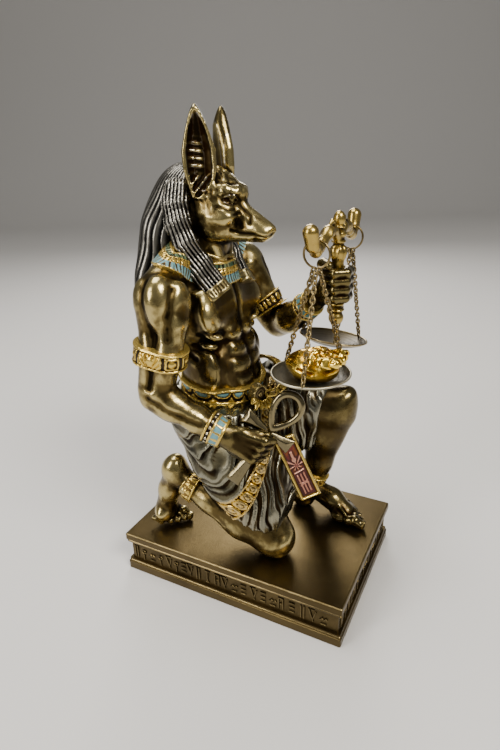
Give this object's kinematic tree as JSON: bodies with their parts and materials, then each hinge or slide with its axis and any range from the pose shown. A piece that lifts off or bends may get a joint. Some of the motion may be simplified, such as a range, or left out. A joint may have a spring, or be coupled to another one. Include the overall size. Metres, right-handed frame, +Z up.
{
  "type": "jackal-headed figurine with scales",
  "caption": "Kneeling jackal-headed figure on an oblong plinth, holding a pair of scales with a heart in the near pan and a looped cross in its other hand.",
  "frame": {"origin": "centre of the plinth's underside", "axes": "+Z up, -Y the way the figure faces, along the plinth's long sides, -X the figure's right side, which holds the looped cross"},
  "size_m": [0.1209, 0.136, 0.2568],
  "materials": {
    "plinth_bronze": "antique bronze over cast resin, brushed on top, dark in the recesses",
    "figure_bronze": "antique bronze over cast resin, polished on the high places, with gold, turquoise and pewter hand colouring",
    "beam_gold": "gold wash over bronze, bright on the lobes",
    "ring_brass": "bright wire",
    "pan_bronze": "grey-green bronze with a bright rubbed rim",
    "heart_gold": "bright gold, amber in the hollows",
    "chain_brass": "fine twisted links, pale and slightly tarnished"
  },
  "bodies": {
    "root": {"plinth": "plinth_bronze", "figure": "figure_bronze", "scale_beam": "beam_gold", "ring_near": "ring_brass", "ring_far": "ring_brass", "pan_near": "pan_bronze", "pan_far": "pan_bronze", "heart": "heart_gold", "chain_near_1": "chain_brass", "chain_near_2": "chain_brass", "chain_near_3": "chain_brass", "chain_far_1": "chain_brass", "chain_far_2": "chain_brass", "chain_far_3": "chain_brass"}
  },
  "joints": []
}
